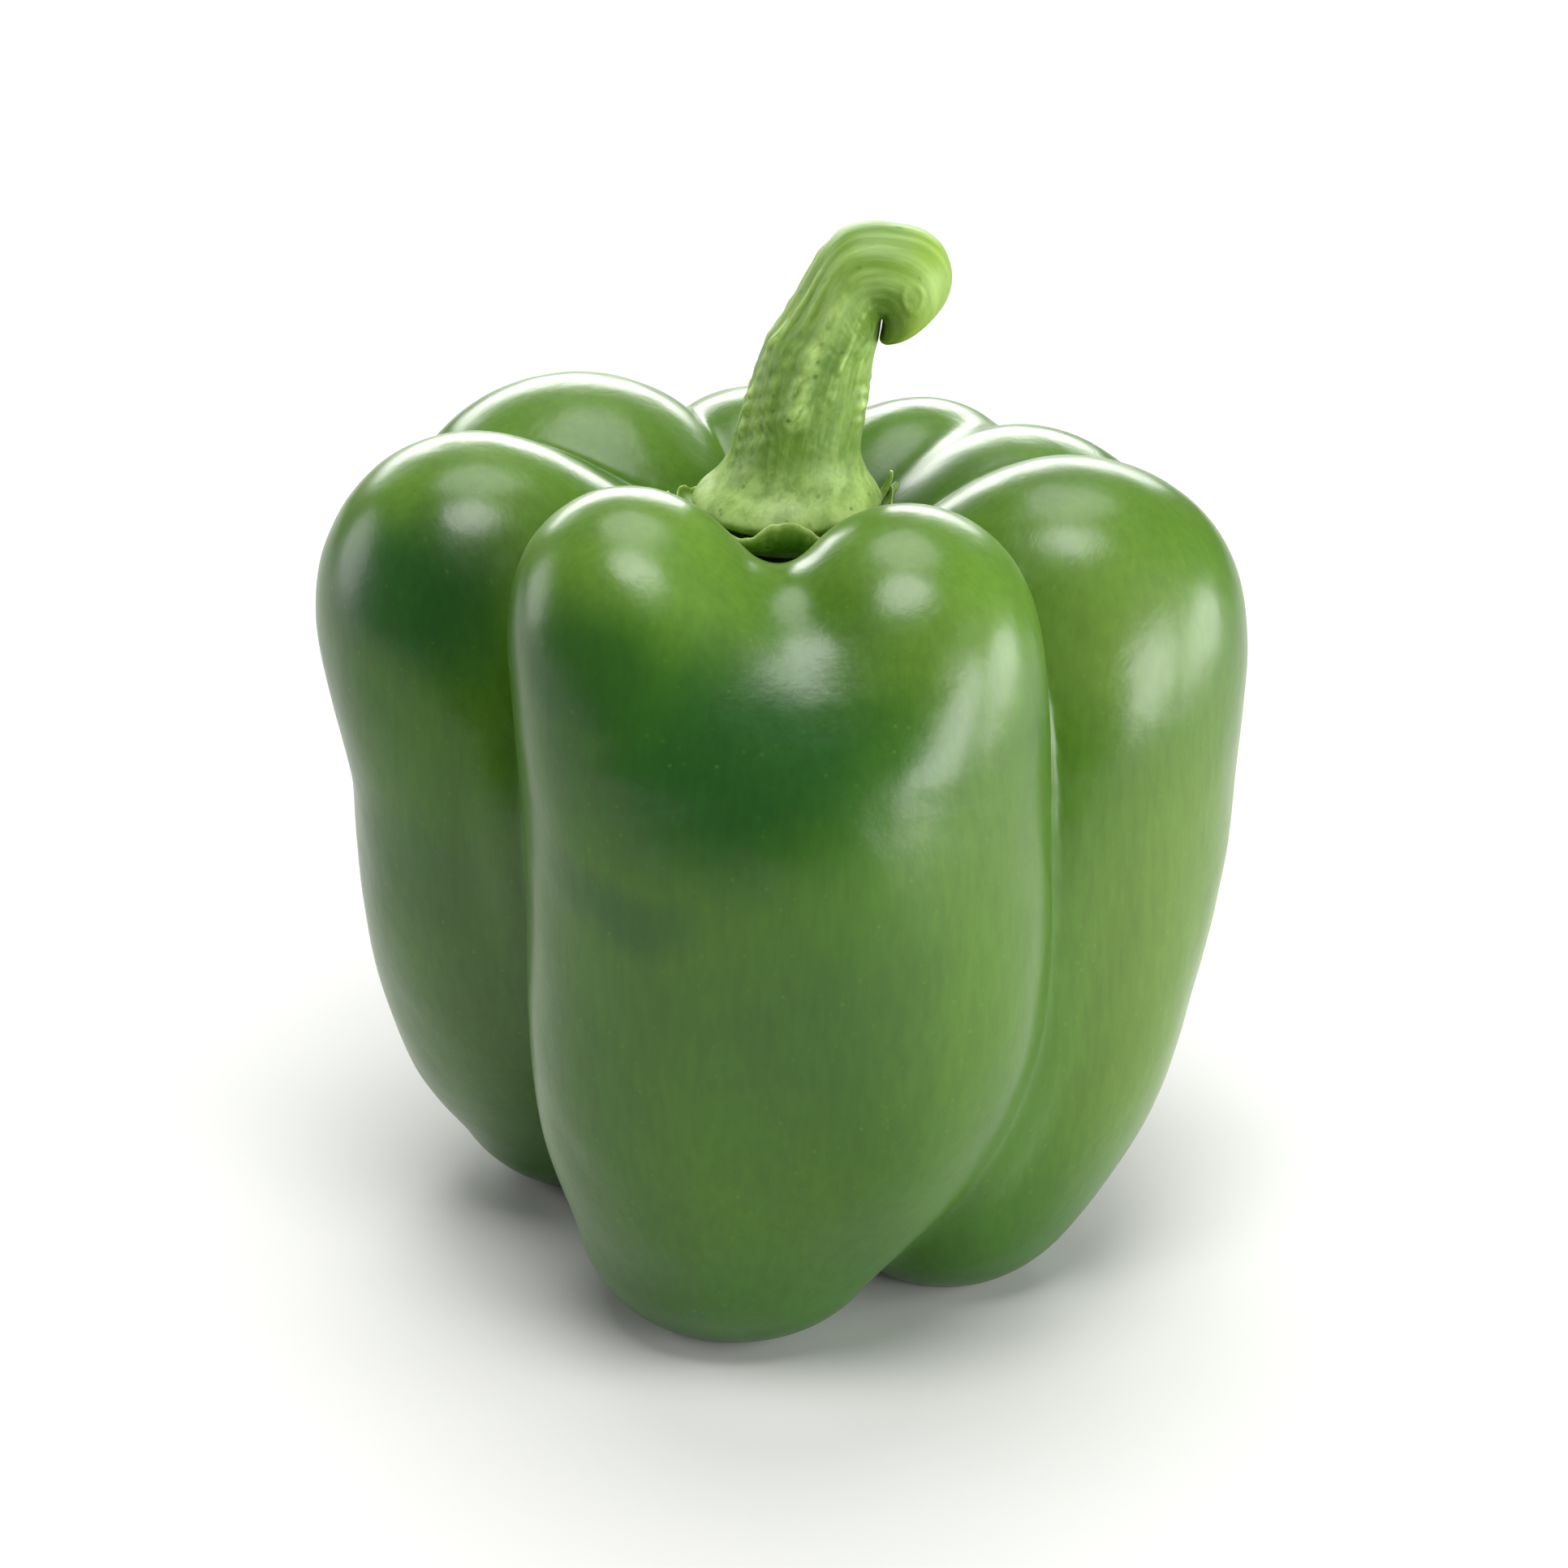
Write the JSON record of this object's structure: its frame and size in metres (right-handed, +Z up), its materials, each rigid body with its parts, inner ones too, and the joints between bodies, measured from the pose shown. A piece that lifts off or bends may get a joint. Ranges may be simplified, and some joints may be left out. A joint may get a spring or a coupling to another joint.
{
  "type": "bell pepper",
  "caption": "Green bell pepper, blocky and lobed, standing on its feet, with a bent stem and curled calyx teeth.",
  "frame": {"origin": "on the surface that the pepper stands on, below the middle of its bounding box", "axes": "+Z up through the fruit towards the stem, +X to the right and -Y towards the viewer as in the picture"},
  "size_m": [0.0886, 0.0862, 0.1041],
  "materials": {
    "skin": "waxy, glossy green skin",
    "stalk": "ribbed, fibrous light green stalk"
  },
  "bodies": {
    "root": {"fruit": "skin", "stem": "stalk"}
  },
  "joints": []
}
